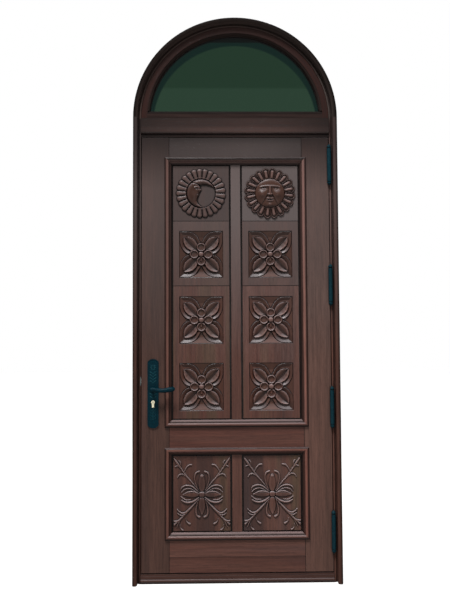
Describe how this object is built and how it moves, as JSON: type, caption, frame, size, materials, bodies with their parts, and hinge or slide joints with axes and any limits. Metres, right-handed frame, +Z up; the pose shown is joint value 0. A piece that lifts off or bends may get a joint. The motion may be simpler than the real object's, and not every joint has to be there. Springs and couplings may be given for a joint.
{
  "type": "carved door with frame and fanlight",
  "caption": "Panelled hardwood door with carved sun, moon, flower and scroll panels, hung in an arched frame with a half-round glazed fanlight, lever handles and a key lock.",
  "frame": {"origin": "middle of the threshold's underside, at floor level and at the middle of the frame's depth", "axes": "+Z up, +X towards the hinge side, -Y towards the viewer on the carved front"},
  "size_m": [0.98, 0.1666, 2.6929],
  "materials": {
    "frame_wood": "satin",
    "sash_wood": "satin",
    "threshold_wood": "satin",
    "leaf_wood": "satin",
    "carved_wood": "satin",
    "moulding_wood": "satin",
    "fanlight_glass": "clear",
    "black_iron": "satin",
    "lock_steel": "brushed",
    "cylinder_brass": "satin"
  },
  "bodies": {
    "frame": {"left_jamb": "frame_wood", "right_jamb": "frame_wood", "arch_head": "frame_wood", "transom": "frame_wood", "threshold": "threshold_wood", "fanlight_sash_arch": "sash_wood", "fanlight_sash_rail": "sash_wood", "fanlight_glass": "fanlight_glass", "fanlight_bead_arch": "sash_wood", "fanlight_bead_rail": "sash_wood", "strike_plate": "lock_steel", "frame_hinge_1": "black_iron", "frame_hinge_2": "black_iron", "frame_hinge_3": "black_iron", "frame_hinge_4": "black_iron", "hinge_pins": "lock_steel"},
    "leaf": {"lock_stile": "leaf_wood", "hinge_stile": "leaf_wood", "top_rail": "leaf_wood", "lock_rail": "leaf_wood", "bottom_rail_upper": "leaf_wood", "bottom_rail_lower": "leaf_wood", "upper_muntin": "leaf_wood", "lower_muntin": "leaf_wood", "moon_board": "carved_wood", "sun_board": "carved_wood", "left_flower_board": "carved_wood", "right_flower_board": "carved_wood", "left_double_board": "carved_wood", "right_double_board": "carved_wood", "left_lower_panel": "carved_wood", "right_lower_panel": "carved_wood", "upper_moulding_bottom": "moulding_wood", "upper_moulding_left": "moulding_wood", "upper_moulding_top": "moulding_wood", "upper_moulding_right": "moulding_wood", "lower_moulding_bottom": "moulding_wood", "lower_moulding_left": "moulding_wood", "lower_moulding_top": "moulding_wood", "lower_moulding_right": "moulding_wood", "upper_back_beads": "leaf_wood", "lower_back_beads": "leaf_wood", "leaf_hinge_1": "black_iron", "leaf_hinge_2": "black_iron", "leaf_hinge_3": "black_iron", "leaf_hinge_4": "black_iron", "lock_case": "lock_steel", "lock_forend": "lock_steel", "cylinder_body": "cylinder_brass", "front_plate": "black_iron", "back_plate": "black_iron"},
    "levers": {"front_lever": "black_iron", "back_lever": "black_iron", "spindle": "lock_steel", "follower": "lock_steel"},
    "latch": {"latch_bolt": "lock_steel"},
    "bolt": {"dead_bolt": "lock_steel"},
    "front_key": {"key_plug": "cylinder_brass", "cylinder_cam": "lock_steel"},
    "back_key": {"back_plug": "cylinder_brass"}
  },
  "joints": [
    {"name": "leaf_swing", "type": "hinge", "parent": "frame", "child": "leaf", "pos_m": [0.4515, -0.0353, 0], "axis": [0, 0, 1], "range_deg": [0, 110]},
    {"name": "lever_turn", "type": "hinge", "parent": "leaf", "child": "levers", "pos_m": [-0.395, -0.0025, 0.905], "axis": [0, 1, 0], "range_deg": [0, 40], "stiffness_Nm_per_rad": 2, "springref_deg": -28.65},
    {"name": "latch_slide", "type": "slide", "parent": "leaf", "child": "latch", "axis": [1, 0, 0], "range_m": [0, 0.012]},
    {"name": "plug_turn", "type": "hinge", "parent": "leaf", "child": "front_key", "pos_m": [-0.395, -0.0025, 0.843], "axis": [0, 1, 0], "range_deg": [0, 360]},
    {"name": "bolt_slide", "type": "slide", "parent": "leaf", "child": "bolt", "axis": [-1, 0, 0], "range_m": [0, 0.02]},
    {"name": "back_plug_turn", "type": "hinge", "parent": "leaf", "child": "back_key", "pos_m": [-0.395, -0.0025, 0.843], "axis": [0, 1, 0], "range_deg": [0, 360]}
  ],
  "couplings": [
    {"joint": "latch_slide", "follows": "lever_turn", "m_per_rad": 0.017},
    {"joint": "plug_turn", "follows": "bolt_slide", "rad_per_m": 314.16}
  ]
}
